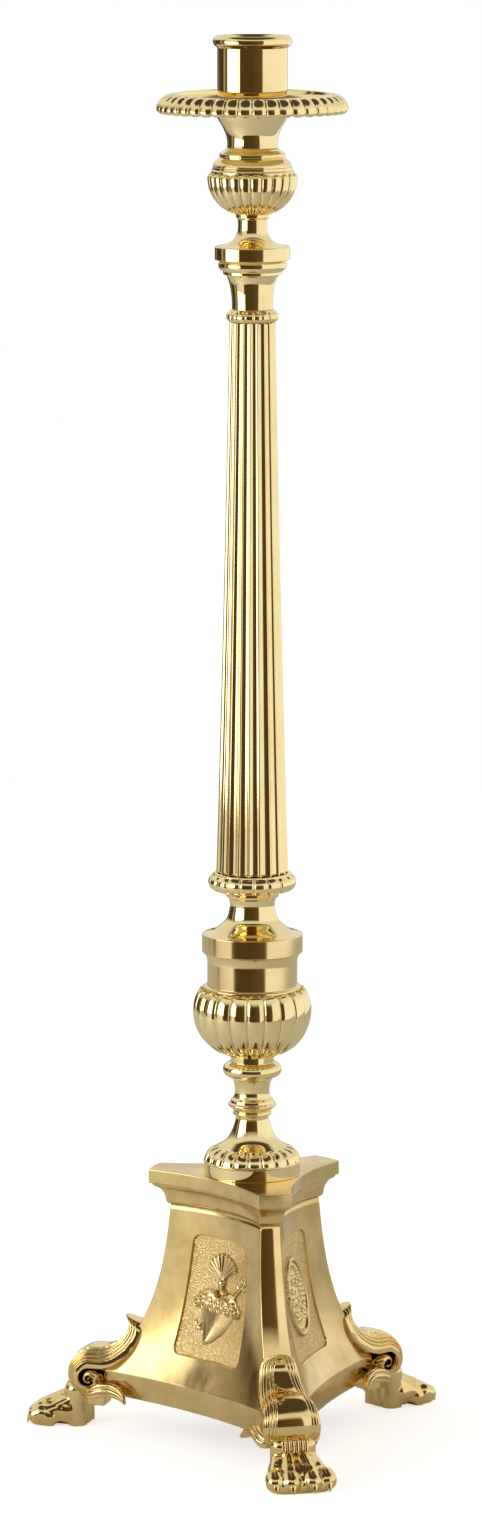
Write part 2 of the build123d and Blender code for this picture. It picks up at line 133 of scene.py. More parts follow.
def facing(angle):
    """Flat unit vectors outward and to the side, at an angle in degrees."""
    turn = radians(angle)
    return Vector((cos(turn), sin(turn))), Vector((-sin(turn), cos(turn)))


def bend(start, edge, end):
    """Three points between two places, on a curve that leans towards an edge."""
    return [start * (1 - t) ** 2 + edge * 2 * t * (1 - t) + end * t * t for t in (0.25, 0.5, 0.75)]


def ring_faces(rings, count, wrap):
    """Quads between neighbouring rings of points; wrap joins the last ring to the first."""
    faces = []
    for j in range(rings if wrap else rings - 1):
        k = (j + 1) % rings
        for i in range(count):
            n = (i + 1) % count
            faces.append((j * count + i, j * count + n, k * count + n, k * count + i))
    return faces


def arc(start, through, end, steps=12):
    """Points after start on the circle through three points."""
    (ax, ay), (bx, by), (cx, cy) = start, through, end
    d = 2 * (ax * (by - cy) + bx * (cy - ay) + cx * (ay - by))
    ux = ((ax**2 + ay**2) * (by - cy) + (bx**2 + by**2) * (cy - ay) + (cx**2 + cy**2) * (ay - by)) / d
    uy = ((ax**2 + ay**2) * (cx - bx) + (bx**2 + by**2) * (ax - cx) + (cx**2 + cy**2) * (bx - ax)) / d
    radius = hypot(ax - ux, ay - uy)
    first = atan2(ay - uy, ax - ux)
    middle = (atan2(by - uy, bx - ux) - first) % (2 * pi)
    last = (atan2(cy - uy, cx - ux) - first) % (2 * pi)
    if middle > last:
        last -= 2 * pi
    angles = [first + last * k / steps for k in range(1, steps + 1)]
    return [(ux + radius * cos(t), uy + radius * sin(t)) for t in angles]


def curve(points, steps=7):
    """Points after the first on a smooth line through all the points."""
    line = []
    for k in range(len(points) - 1):
        p1, p2 = points[k], points[k + 1]
        p0 = points[k - 1] if k else tuple(2 * a - b for a, b in zip(p1, p2))
        p3 = points[k + 2] if k + 2 < len(points) else tuple(2 * b - a for a, b in zip(p1, p2))
        for step in range(1, steps + 1):
            t = step / steps
            weights = (-0.5 * t + t * t - 0.5 * t**3, 1 - 2.5 * t * t + 1.5 * t**3,
                       0.5 * t + 2 * t * t - 1.5 * t**3, -0.5 * t * t + 0.5 * t**3)
            line.append(tuple(sum(w * p[axis] for w, p in zip(weights, (p0, p1, p2, p3)))
                              for axis in range(len(p1))))
    return line


def outline(start, *moves):
    """A half profile: each move is a point, ("arc", through, end) or ("curve", point, ..., end)."""
    path = [start]
    for move in moves:
        if move[0] == "arc":
            path += arc(path[-1], move[1], move[2])
        elif move[0] == "curve":
            path += curve([path[-1], *move[1:]])
        else:
            path.append(move)
    return path


def eased(path):
    """The closed outline with every sharp corner rounded."""
    result = []
    for k, point in enumerate(path):
        here = Vector(point)
        back = Vector(path[k - 1]) - here
        ahead = Vector(path[(k + 1) % len(path)]) - here
        if back.length < tiny:
            continue
        if ahead.length < tiny or 180 - degrees(back.angle(ahead)) < sharp_turn:
            result.append(tuple(here))
            continue
        start = here + back.normalized() * min(edge_round, back.length * 0.45)
        end = here + ahead.normalized() * min(edge_round, ahead.length * 0.45)
        result += [tuple(place) for place in (start, *bend(start, here, end), end)]
    return result


def lathe(name, path, segments, relief):
    """A closed body of revolution; relief(turn, radius, height) says how deep the skin sinks."""
    count = len(path)
    area = sum(path[k - 1][0] * path[k][1] - path[k][0] * path[k - 1][1] for k in range(count))
    way = 1 if area > 0 else -1
    verts = []
    for k, (radius, height) in enumerate(path):
        along = Vector(path[(k + 1) % count]) - Vector(path[k - 1])
        outward = Vector((along.y, -along.x)).normalized() * way
        for i in range(segments):
            turn = i / segments
            sink = relief(turn, radius, height) if relief else 0.0
            r = radius - outward.x * sink
            angle = 2 * pi * turn
            verts.append((r * cos(angle), r * sin(angle), height - outward.y * sink))
    piece = solid(name, verts, ring_faces(count, segments, True))
    fix_normals(piece)
    return piece


def fix_normals(piece):
    """Face normals outward, then shading that keeps flat faces flat beside small rounded edges."""
    work = bmesh.new()
    work.from_mesh(piece.data)
    bmesh.ops.recalc_face_normals(work, faces=work.faces)
    work.to_mesh(piece.data)
    work.free()
    keep = piece.modifiers.new("flat_stays_flat", "WEIGHTED_NORMAL")
    keep.keep_sharp = False


def ribs(count, depth, centre, start, end, cap, fade):
    """Domed ribs between two angles about a centre; past their end the skin rises over the fade."""

    def sink(turn, radius, height):
        along = degrees(atan2(height - centre[1], radius - centre[0]))
        if not start <= along <= end + fade:
            return 0.0
        across = 2 * ((turn * count) % 1) - 1
        beyond = max(start + cap - along, along - end + cap, 0) / cap
        groove = depth * (1 - sqrt(max(0.0, 1 - across**2 - beyond**2)))
        return groove * min(1.0, (end + fade - along) / fade)

    return sink


def pads(count, depth, centre, start, end, bulge=0.3, groove=0.14):
    """Cushion-like pads parted by narrow grooves, between two angles about a centre."""

    def sink(turn, radius, height):
        along = degrees(atan2(height - centre[1], radius - centre[0]))
        if not start <= along <= end:
            return 0.0
        across = abs(2 * ((turn * count) % 1) - 1)
        return bulge * across**2 + depth * exp(-(((1 - across) / groove) ** 2))

    return sink


# ------------ materials
def feed(tree, place, value):
    """Link a node's input to another node's output, or set it to a plain value."""
    if isinstance(value, bpy.types.NodeSocket):
        tree.links.new(value, place)
    else:
        place.default_value = value


def node(tree, kind, **inputs):
    """A shader node with some of its inputs fed by name."""
    made = tree.nodes.new("ShaderNode" + kind)
    for name, value in inputs.items():
        feed(tree, made.inputs[name.replace("_", " ")], value)
    return made


def calculated(tree, operation, first, second):
    """The result of an operation on two numbers."""
    made = node(tree, "Math")
    made.operation = operation
    feed(tree, made.inputs[0], first)
    feed(tree, made.inputs[1], second)
    return made.outputs["Value"]


def ranged(tree, value, start, end, to_start=0.0, to_end=1.0):
    """A value mapped from one range onto another and kept inside it."""
    made = node(tree, "MapRange", Value=value, From_Min=start, From_Max=end, To_Min=to_start, To_Max=to_end)
    return made.outputs["Result"]


def scaled(tree, colour, share):
    """A colour made darker or brighter."""
    made = node(tree, "VectorMath")
    made.operation = "SCALE"
    feed(tree, made.inputs[0], colour)
    feed(tree, made.inputs["Scale"], share)
    return made.outputs["Vector"]


def mixed(tree, share, first, second):
    """A mix of two colours; the mix node keeps its colours in inputs 6 and 7 and output 2."""
    made = node(tree, "Mix")
    made.data_type = "RGBA"
    for index, value in ((0, share), (6, first), (7, second)):
        feed(tree, made.inputs[index], value)
    return made.outputs[2]


def worn_and_shaded_colour(tree, place, light, deep):
    """A colour that drifts in soft clouds; hollows are darkened, partly by old polish and partly as painted
    shade, and edges are rubbed bright.
    """
    clouds = node(tree, "TexNoise", Vector=place, Scale=38.0, Detail=5.0, Roughness=0.6)
    tint = node(tree, "ValToRGB", Fac=clouds.outputs["Fac"])
    for element, position, colour in zip(tint.color_ramp.elements, (0.32, 0.66), (deep, light)):
        element.position = position
        element.color = (*colour, 1)
    shape = node(tree, "NewGeometry").outputs["Pointiness"]
    # Hollows are painted darker, down to 0.45 of the colour: partly old polish, partly painted shade.
    hollow = ranged(tree, shape, 0.40, 0.49, 0.45, 1.0)
    edge = ranged(tree, shape, 0.53, 0.62, 1.0, 1.12)
    return scaled(tree, tint.outputs["Color"], calculated(tree, "MULTIPLY", hollow, edge))


def metal(name, light, deep, shine, grain, bump, stipple=0.0, brushed=False):
    """A worn metal with painted shade in its hollows: faint smears vary its shine and ripple it, and a
    stippled ground is punched, with painted shade in the dents and painted highlight on their rims.
    """
    material = bpy.data.materials.new(name)
    material.use_nodes = True
    tree = material.node_tree
    place = node(tree, "TexCoord").outputs["Object"]
    colour = worn_and_shaded_colour(tree, place, light, deep)
    stretch = (1, 1, 12) if brushed else (1, 1, 0.35)
    smear_place = node(tree, "Mapping", Vector=place, Scale=stretch).outputs["Vector"]
    smear = node(tree, "TexNoise", Vector=smear_place, Scale=grain, Detail=4.0, Roughness=0.65).outputs["Fac"]
    skin = node(tree, "Bump", Height=smear, Strength=bump, Distance=bump_depth).outputs["Normal"]
    if stipple:
        punch = node(tree, "TexVoronoi", Vector=place, Scale=punch_scale).outputs["Distance"]
        dots = node(tree, "Bump", Height=punch, Normal=skin, Strength=stipple, Distance=bump_depth)
        skin = dots.outputs["Normal"]
        # Painted shade in the punched dents and painted highlight on their rims: the colour follows the
        # dents.
        colour = scaled(tree, colour, ranged(tree, punch, 0.1, 0.8, 0.55, 1.2))
    shader = tree.nodes["Principled BSDF"]
    feed(tree, shader.inputs["Metallic"], 1.0)
    feed(tree, shader.inputs["Base Color"], colour)
    feed(tree, shader.inputs["Roughness"], ranged(tree, smear, 0.3, 0.7, *shine))
    feed(tree, shader.inputs["Normal"], skin)
    return material


# Each metal: light and deep colour, least and most roughness, scale of its smears, strength of its ripples
bump_depth = 0.0004
punch_scale = 900.0
polished = metal("polished_brass", (0.93, 0.78, 0.42), (0.88, 0.70, 0.34), (0.025, 0.075), 60.0, 0.02)
turned = metal("brushed_turned_brass", (0.90, 0.73, 0.38), (0.82, 0.63, 0.30), (0.07, 0.14), 240.0, 0.04,
               brushed=True)
satin = metal("satin_brass", (0.82, 0.63, 0.29), (0.64, 0.46, 0.18), (0.13, 0.28), 45.0, 0.14)
matte = metal("matte_brass", (0.84, 0.64, 0.30), (0.72, 0.52, 0.21), (0.32, 0.46), 90.0, 0.2, stipple=1.0)
steel = metal("plain_steel", (0.55, 0.56, 0.58), (0.38, 0.39, 0.41), (0.25, 0.45), 300.0, 0.3)
relief_brass = metal("relief_brass", (0.88, 0.69, 0.33), (0.78, 0.58, 0.25), (0.12, 0.24), 120.0, 0.08)
foot_brass = metal("foot_brass", (0.91, 0.72, 0.34), (0.82, 0.60, 0.25), (0.04, 0.10), 80.0, 0.04)


def finish_piece(piece, material, body, node_name):
    """Give a piece its material and its body, and hide the CAD node that it stands for."""
    if not piece.data.materials:
        piece.data.materials.append(material)
    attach(piece, body)
    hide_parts(node_name)


# ------------ turned stem
def turned_piece(node_name, *profile, material=polished, segments=160, relief=None, body="stand"):
    """One turned piece that stands for its CAD node; its profile is a start and moves, as in outline."""
    piece = lathe(node_name + "_turned", eased(outline(*profile)), segments, relief)
    finish_piece(piece, material, body, node_name)


z = low("stem_foot")
turned_piece(
    "stem_foot",
    (28, z), (34.4, z), (34.4, 201.2), (34.9, 201.6), (34.9, 202.2), (34.4, 202.6),
    ("arc", (32.2, 208.0), (25.4, 212.0)),
    ("curve", (23.4, 213.2), (17.9, 217.6), (14.2, 224.5), (11.6, 233)),
    (rod_bore, 233), (rod_bore, 209.5), (22, 204.5), (28, 200),
    segments=320,
    relief=pads(20, 1.2, (24, 202.5), 3, 86, bulge=0.7, groove=0.13),
)
turned_piece(
    "lower_baluster",
    (rod_bore, 233), (11.6, 233), (12.2, 235), ("arc", (13.9, 236.4), (13.0, 238.0)),
    ("curve", (14.2, 239.4), (16.8, 241.6)), (17.3, 242.3), (17.1, 243.4), (15.6, 244.2),
    (15.2, 246.2), (13.5, 247.8), ("curve", (12.3, 251.3), (12.8, 257), (14.0, 261)),
    (15.4, 262), (15.4, 263), (rod_bore, 263),
)
turned_piece(
    "collar_knop",
    (rod_bore, 263), (16.6, 263), ("arc", (21, 268), (17, 273)), (15.3, 273.6), (15.3, 278.8),
    (rod_bore, 278.8),
)
turned_piece(
    "lower_urn",
    (rod_bore, 278.8), (18.4, 278.8), ("arc", (33.6, 288.2), (42.0, 307.5)),
    ("arc", (41.7, 316.6), (38.8, 324.6)), ("arc", (37.4, 326.7), (35.4, 327.5)),
    (35.0, 325.5), (28, 325.5), ("arc", (31, 302), (14, 286.8)), (rod_bore, 286.8),
    segments=400,
    relief=ribs(20, 2.3, (8, 306), -66, 40, 12, 6),
)
turned_piece(
    "lower_drum",
    (28, 325.5), (34.8, 325.5), (34.8, 328.3), (33.4, 329), (32, 329.2), (32, 345),
    ("arc", (32.6, 349.5), (34.4, 353)), (35.8, 353.4), (35.8, 366.3), (rod_bore, 366.3),
    (rod_bore, 358.3), (28, 358.3),
    material=turned,
)
turned_piece(
    "lower_spool",
    (rod_bore, 366.3), (34.2, 366.3), ("curve", (28.0, 368.2), (22.2, 372.6), (18.0, 377.4),
    (15.9, 386.5), (17.0, 392.0)), (18.6, 393.0), (18.9, 394.6),
    ("curve", (20.5, 396), (22.5, 397.7)), (rod_bore, 397.7),
)
turned_piece(
    "lower_bead_ring",
    (rod_bore, 397.7), (23, 397.7), ("arc", (31.2, 404.2), (27.6, 409.2)), (27, 410.5),
    (rod_bore, 410.5),
    segments=324,
    relief=pads(18, 0.9, (23.5, 404), -56, 52),
)

# ------------ fluted column
flute_count = 20
fillet_share = 0.13
flute_half_angle = radians(50.0)
flute_segments = 20
column_radii = (25.5, 20.1, 16.1)
column_wall = 4.0
plain_below = (23.5, 14.1)
column_low = low("column_tube")
column_high = high("column_tube")
column_middle = (column_low + column_high) / 2


def flutes(turn, radius, height):
    """Round-bottomed flutes parted by narrow flat fillets; the bore, at small radii, stays plain."""
    rise = (height - column_low) / (column_high - column_low)
    if radius < plain_below[0] + rise * (plain_below[1] - plain_below[0]):
        return 0.0
    across = abs(2 * ((turn * flute_count) % 1) - 1) / (1 - fillet_share)
    if across >= 1:
        return 0.0
    half_width = pi * radius / flute_count * (1 - fillet_share)
    bow = half_width / sin(flute_half_angle)
    return bow * (sqrt(1 - (across * sin(flute_half_angle)) ** 2) - cos(flute_half_angle))


outer_line = arc((column_radii[0], column_low), (column_radii[1], column_middle),
                 (column_radii[2], column_high), steps=40)
inner_line = [(column_radii[2] - column_wall, column_high), (column_radii[1] - column_wall, column_middle),
              (column_radii[0] - column_wall, column_low)]
turned_piece("column_tube", (column_radii[0], column_low), *outer_line, *inner_line,
             segments=flute_count * flute_segments, relief=flutes)

turned_piece(
    "upper_bead_ring",
    (rod_bore, 801), (16.4, 801), ("arc", (18.3, 804.6), (16.0, 808.4)), (15.2, 809.5),
    (rod_bore, 809.5),
    segments=288,
    relief=pads(18, 0.6, (13, 804.8), -48, 48, bulge=0.2),
)
turned_piece(
    "column_cap",
    (rod_bore, 809.5), (14.3, 809.5),
    ("curve", (14.4, 815), (14.9, 821), (16.1, 827.5), (17.8, 832.6)), (18.4, 833.4), (20.5, 834.0),
    (20.5, 836.2), (21.8, 836.8), ("arc", (23.9, 840.6), (22.8, 843.6)), (22.4, 844),
    (26.3, 844.2), (26.3, 853), (25.7, 853.6), (rod_bore, 853.6),
)
turned_piece(
    "upper_spool",
    (rod_bore, 853.6), (24.6, 853.6), ("curve", (18.5, 855.0), (13.8, 857.8), (10.9, 862.6),
    (10.1, 867.5), (10.3, 872.5)), (11.4, 873.6), (11.6, 876), (rod_bore, 876),
)
turned_piece(
    "upper_knop",
    (rod_bore, 876), (12, 876), ("arc", (25.8, 885), (31.4, 899.5)),
    ("arc", (31.2, 903.5), (29.6, 907)), (28.8, 907.3), (27.6, 909), (21, 909),
    ("arc", (22.5, 895), (10, 884)), (rod_bore, 884),
    segments=384,
    relief=ribs(24, 2.0, (6, 897), -74, 19, 9, 9),
)
turned_piece(
    "pan_cup",
    (21, 909), (27.6, 909), ("arc", (26.6, 911.6), (23.6, 914.6)), (22.4, 915.4),
    ("arc", (23.1, 917.2), (22.0, 919.2)), (19.4, 920.2), (18.8, 921.8), (17.9, 922.2),
    ("curve", (17.6, 925.5), (18.4, 930.5), (20.8, 936.6), (24.6, 943), (26.8, 948)),
    (27, 951), (rod_bore, 951), (rod_bore, 936), (12.5, 930), (13.5, 917),
)

# ------------ drip pan and candle socket
screw_bore = 5.06
pan_ribs = 42

turned_piece(
    "drip_pan",
    (screw_bore, 951.3), (52.2, 951.3), (57, 947.5), (62, 946.5), ("arc", (65.6, 946.9), (67, 949.6)),
    ("arc", (63.6, 956.6), (55.6, 959.6)), (55.2, 959.2), (54.6, 959.9), (53.7, 960), (53.2, 959.4),
    ("curve", (52.6, 957), (51, 955), (47.5, 954.2), (40, 953.7)), (screw_bore, 953.6),
    segments=pan_ribs * 12,
    relief=ribs(pan_ribs, 1.9, (55.4, 948.6), -60, 86, 20, 4),
    body="pan",
)
turned_piece(
    "candle_socket",
    (screw_bore, 953.9), (24.5, 953.9), (24.5, 991.4), ("arc", (25.4, 992.3), (26.2, 992.9)),
    ("arc", (27.6, 996.2), (26.0, 999.4)), ("arc", (24.7, 999.95), (23.3, 999.5)),
    (22, 997.4), (22, 961), (screw_bore, 961),
    body="socket",
)


# ------------ three-cornered base
def corner_shape(height):
    """How far the flat corners stand out and how wide they are, at one height of the body."""
    fall = min(1.0, (body_top - height) / (body_top - band_top))
    flare = flare_share * fall + (1 - flare_share) * fall**3
    reach = body_top_reach + flare * (body_band_reach - body_top_reach)
    width = body_top_corner + fall * (body_band_corner - body_top_corner)
    return reach, width


def face_shape(reach, width, sag, inset=0.0):
    """Half chord of one face, its least distance from the axis, and its radius of curvature."""
    reach = reach - inset
    half_corner = width / 2 - inset * tan(corner_slant)
    half_chord = reach * sin(half_step) - half_corner * cos(half_step)
    nearest = reach * cos(half_step) + half_corner * sin(half_step) - sag
    bow = (half_chord**2 + sag**2) / (2 * sag)
    return half_chord, nearest, bow


def face_depth(across, nearest, bow):
    """Distance of the face from the axis plane, at one place across it."""
    return nearest + bow - sqrt(max(0.0, bow**2 - across**2))


def panel_half(height):
    """Half width of the rounded panel at one height; it keeps on beyond the ends for a smooth mesh."""
    share = (height - plaque_bottom) / (plaque_top - plaque_bottom)
    half = plaque_bottom_half + share * (plaque_top_half - plaque_bottom_half)
    from_end = min(height - plaque_bottom, plaque_top - height)
    if from_end < 0:
        return half - plaque_corner * exp(from_end / panel_fade)
    if from_end < plaque_corner:
        half -= plaque_corner - sqrt(plaque_corner**2 - (plaque_corner - from_end) ** 2)
    return half


def base_ring(height, reach, width, sag, lines, inset=0.0, panel=None, sink=None):
    """One level ring round the base: flat corners, eased edges and faces that curve inward."""
    half_chord, nearest, bow = face_shape(reach, width, sag, inset)
    half_corner = width / 2 - inset * tan(corner_slant)
    reach -= inset
    corner_end = half_corner - corner_ease
    chord_end = half_chord - corner_ease
    end_depth = face_depth(chord_end, nearest, bow)
    ring = []
    for corner in range(corner_count):
        angle = front_angle + corner * corner_step
        out, side = facing(angle)
        face_out, face_side = facing(angle + corner_step / 2)
        next_out, next_side = facing(angle + corner_step)
        for k in range(corner_points):
            share = 2 * k / (corner_points - 1) - 1
            swell = corner_swell * (1 - share**2)
            ring.append(out * (reach + swell) + side * share * corner_end)
        ring += bend(out * reach + side * corner_end, out * reach + side * half_corner,
                     face_out * end_depth - face_side * chord_end)
        for line in lines:
            across = line * chord_end
            if panel:
                inner = min(abs(line), 1.0) * panel
                outer = max(abs(line) - 1.0, 0.0) * (chord_end - panel)
                across = (inner + outer) * (1 if line > 0 else -1)
            depth = face_depth(across, nearest, bow)
            if sink:
                depth -= sink(line, height)
            ring.append(face_out * depth + face_side * across)
        ring += bend(face_out * end_depth + face_side * chord_end, next_out * reach - next_side * half_corner,
                     next_out * reach - next_side * corner_end)
    return [(p.x, p.y, height) for p in ring]


def mirrored(values):
    """The values with their negatives, in order."""
    return sorted({-v for v in values} | set(values))


wall_line = 0.008
panel_lines = mirrored([0.25, 0.5, 0.7, 0.85, 0.94, 0.98, 1 - 2 * wall_line, 1 - wall_line, 1.0,
                        1 + wall_line, 1.03, 1.08, 1.2, 1.35, 1.5, 1.65, 1.8, 1.92, 2.0])


def pocket(line, height):
    """How deep the body's skin sinks: the pocket that a plaque lies in, with a soft lip."""
    steps_in = (1 - abs(line)) / wall_line
    rows_in = min(height - plaque_bottom, plaque_top - height) / pocket_row
    inward = min(steps_in, rows_in)
    if inward > 1.5:
        return plaque_back
    if inward > 0.5:
        return plaque_ground
    return pocket_lip if inward > -0.5 else 0.0


def body_rows():
    """Heights of the body's rings: close together at the band's edge and at the ends of the panels."""
    rows = [body_bottom, body_bottom + 0.3, body_bottom + 1, 30, 36, band_top - 1, band_top - 0.3,
            band_top + 0.2, band_top + 1, 45, 49, 53, 57, plaque_bottom - 1]
    for step in range(7):
        turn = radians(90) * step / 6
        rows.append(plaque_bottom + plaque_corner * (1 - cos(turn)))
        rows.append(plaque_top - plaque_corner * (1 - cos(turn)))
    for offset in (-pocket_row, pocket_row, 2 * pocket_row):
        rows.append(plaque_bottom + offset)
        rows.append(plaque_top - offset)
    middle_steps = 14
    for step in range(1, middle_steps):
        rows.append(plaque_bottom + plaque_corner
                    + (plaque_top - plaque_bottom - 2 * plaque_corner) * step / middle_steps)
    rows += [plaque_top + 1.5, 153, 158, 163, body_top]
    return sorted(rows)


def body_mesh():
    """The hollow body: outer skin with its three pockets, rims above and below, inner skin."""
    rings = []
    for height in body_rows():
        reach, width = corner_shape(height)
        pull = 0.4 if height in (body_bottom, band_top - 0.3) else 0.0
        rings.append(base_ring(height, reach - pull, width, body_sag, panel_lines, 0,
                               panel_half(height), pocket))
    for height in (body_top, 150, 130, 110, 90, 75, 60, 50, band_top, 32, body_bottom):
        reach, width = corner_shape(height)
        rings.append(base_ring(height, reach, width, body_sag, panel_lines, body_wall, panel_half(height)))
    return rings


def ring_solid(name, rings):
    """A closed solid from level rings that all have the same number of points."""
    count = len(rings[0])
    piece = solid(name, [point for ring in rings for point in ring], ring_faces(len(rings), count, True))
    fix_normals(piece)
    return piece


def base_body():
    """The body with its broad faces satin and its flat corners polished."""
    rings = body_mesh()
    piece = ring_solid("base_body_cast", rings)
    piece.data.materials.append(satin)
    piece.data.materials.append(foot_brass)
    count = len(rings[0])
    sector = count // corner_count
    outer_rows = len(body_rows())
    marks = []
    for polygon in piece.data.polygons:
        row, column = divmod(min(polygon.vertices), count)
        marks.append(1 if row < outer_rows and column % sector < corner_points else 0)
    piece.data.polygons.foreach_set("material_index", marks)
    finish_piece(piece, satin, "stand", "base_body")


base_body()


def cornice_corner(reach):
    """Width of the cornice's flat corners, which grows from the cove out to the plate."""
    return cove_corner + (plate_corner - cove_corner) * (reach - cove_reach) / (plate_reach - cove_reach)


def cornice_mesh():
    """Flat plate on a cove: its profile is a list of heights and reaches, then the hollow underside."""
    lines = [k / 16 for k in range(-16, 17)]
    profile = [(plate_top, plate_reach - 0.7), (plate_top - 0.2, plate_reach - 0.2),
               (plate_top - 0.7, plate_reach), (plate_bottom + 0.9, plate_reach),
               (plate_bottom + 0.2, plate_reach - 0.2), (plate_bottom, plate_reach - 0.8),
               (plate_bottom - 0.1, plate_reach - 2.2), (plate_bottom - 0.5, plate_reach - 2.6),
               (plate_bottom - 1.4, plate_reach - 2.9), (plate_bottom - 2.0, plate_reach - 3.6)]
    for step in range(1, cove_steps + 1):
        turn = radians(90) * step / cove_steps
        profile.append((cove_top - cove_drop * (1 - cos(turn)) - cove_slope * step / cove_steps,
                        cove_inner_reach + cove_depth * (1 - sin(turn))))
    profile += [(169.4, 61.9), (168.7, 61.4), (body_top, 60.6)]
    rings = []
    circle = base_ring(plate_top, plate_reach, plate_corner, plate_sag, lines)
    hole = [tuple(Vector(p[:2]).normalized() * rod_bore) for p in circle]
    rings.append([(x, y, plate_top) for x, y in hole])
    for height, reach in profile:
        rings.append(base_ring(height, reach, cornice_corner(reach), plate_sag, lines))
    for height in (body_top, ceiling):
        rings.append(base_ring(height, body_top_reach, body_top_corner, body_sag, lines, body_wall))
    rings.append([(x, y, ceiling) for x, y in hole])
    return rings


finish_piece(ring_solid("base_cornice_cast", cornice_mesh()), satin, "stand", "base_cornice")


# ------------ plaques with cast relief
relief_step = 0.42
relief_edge = 0.25
relief_middle = 104.5
medallion_half = (19.5, 28.5)
wreath_loops = 11
heart_rows = ((72.0, -8.6, -7.4), (75, -9.2, 0.5), (80, -11, 6.5), (87, -13.5, 13.5), (94, -16, 18),
              (101, -18.5, 20.5), (106, -18.0, 20.5), (109, -15, 17))


def between(rows, at):
    """Values of a table of rows at one place, the first column being the place."""
    for first, second in zip(rows, rows[1:]):
        if first[0] <= at <= second[0]:
            t = (at - first[0]) / (second[0] - first[0])
            return [a + (b - a) * t for a, b in zip(first[1:], second[1:])]
    return None


def dome(distance, radius, height):
    """A rounded lump of this radius and height."""
    return height * sqrt(1 - (distance / radius) ** 2) if distance < radius else 0.0


def to_segment(x, y, start, end):
    """Distance from the line between two places."""
    dx, dy = end[0] - start[0], end[1] - start[1]
    along = ((x - start[0]) * dx + (y - start[1]) * dy) / (dx * dx + dy * dy)
    t = min(max(along, 0.0), 1.0)
    return hypot(x - start[0] - dx * t, y - start[1] - dy * t)


def wreath_rings():
    """Loops of the twisted wreath round the heart: place and radius of each."""
    rings = []
    for k in range(wreath_loops):
        t = k / (wreath_loops - 1)
        sway = 1.8 if k % 2 else -1.8
        rings.append((-18.5 + 39 * t, 103 - 6.5 * t + 4.5 * t * t + sway, 3.3))
    return rings


wreath = wreath_rings()
arrow_shafts = (((27.0, 121), (15, 109), 1.7), ((-11.5, 90), (-17.5, 83), 1.5))
arrow_barbs = (((26.5, 120), (27.4, 124)), ((26.5, 120), (23.5, 122.5)), ((23.5, 117.5), (26.6, 116)),
               ((20.5, 114.5), (18.5, 118)), ((-17.5, 83), (-14, 82.5)), ((-17.5, 83), (-19, 86.5)))
flame_root = (1.5, 116.0)
flame_reach = 20.5
flame_ribs = 9
flame_lean = 2.0


def heart_relief(x, y):
    """A heart with a wreath of loops, a fan of flames above and an arrow through it."""
    height = 0.0
    edges = between(heart_rows, y)
    if edges and edges[0] < x < edges[1]:
        middle = (edges[0] + edges[1]) / 2
        half = (edges[1] - edges[0]) / 2
        height = 3.6 * (1 - ((x - middle) / half) ** 2) ** 0.55
        height *= min(1.0, (y - 72) / 5 + 0.35, (109 - y) / 5)
    for cx, cy in ((-9.0, 103.5), (11.5, 103.5)):
        height = max(height, dome(hypot(x - cx, (y - cy) * 1.25), 9.5, 4.0))
    for start, end, thick in arrow_shafts:
        height = max(height, dome(to_segment(x, y, start, end), thick, 1.9))
    for start, end in arrow_barbs:
        height = max(height, dome(to_segment(x, y, start, end), 1.3, 1.6))
    for cx, cy, radius in wreath:
        distance = hypot(x - cx, y - cy)
        if distance < radius + 1.4:
            height = max(height, 3.4 + 1.2 * cos(min(pi, abs(distance - radius * 0.75) * 2.0)),
                         dome(distance, 1.2, 5.0))
    height = max(height, dome(hypot(x - flame_root[0], (y - flame_root[1] - 1.0) * 1.2), 4.0, 4.4))
    fold = abs(hypot(x - 1.5, (y - 109.5) * 1.5) - 5.0)
    height = max(height, dome(fold, 1.5, 4.6))
    from_root = hypot(x - flame_root[0], y - flame_root[1])
    turn = degrees(atan2(x - flame_root[0], y - flame_root[1])) - flame_lean
    opening = 18 + 36 * min(1.0, from_root / flame_reach) ** 0.6
    across = turn / opening
    if abs(across) < 1 and from_root > 3:
        rib = abs(sin(across * flame_ribs * pi / 2))
        end = flame_reach + 1.6 * rib - 3.0 * across**2
        if from_root < end:
            rise = min(1.0, end - from_root + 0.2)
            height = max(height, (1.3 + 1.5 * rib) * rise)
    return height


def rosette(x, y, radius, petals, height):
    """A flower of rounded petals round a button."""
    distance = hypot(x, y)
    if distance > radius:
        return 0.0
    petal = abs(cos(atan2(y, x) * petals / 2))
    edge = radius * (0.62 + 0.38 * petal**0.5)
    if distance > edge:
        return 0.0
    hollow = 0.55 + 0.45 * petal
    return max(height * hollow * (1 - (distance / edge) ** 4) ** 0.5 * (0.55 + 0.45 * distance / edge),
               dome(distance, radius * 0.27, height * 1.15))


def oval_rim(x, y, half_wide, half_high, width, height):
    """A raised oval band; gives its height and how far inside it the place lies."""
    share = hypot(x / half_wide, y / half_high)
    inward = (1 - share) * (half_wide + half_high) / 2
    if 0 < inward < width:
        return height * sqrt(1 - (2 * inward / width - 1) ** 4), inward
    return 0.0, inward


def tendril(x, y, centre, radius, turns, thick, height, hand):
    """A spiral tendril that winds into its centre."""
    dx, dy = (x - centre[0]) * hand, y - centre[1]
    distance = hypot(dx, dy)
    if distance > radius + thick:
        return 0.0
    turn = atan2(dy, dx) / (2 * pi)
    pitch = radius / turns
    off = (distance / pitch - turn + 0.5) % 1 - 0.5
    return dome(abs(off) * pitch, thick, height)


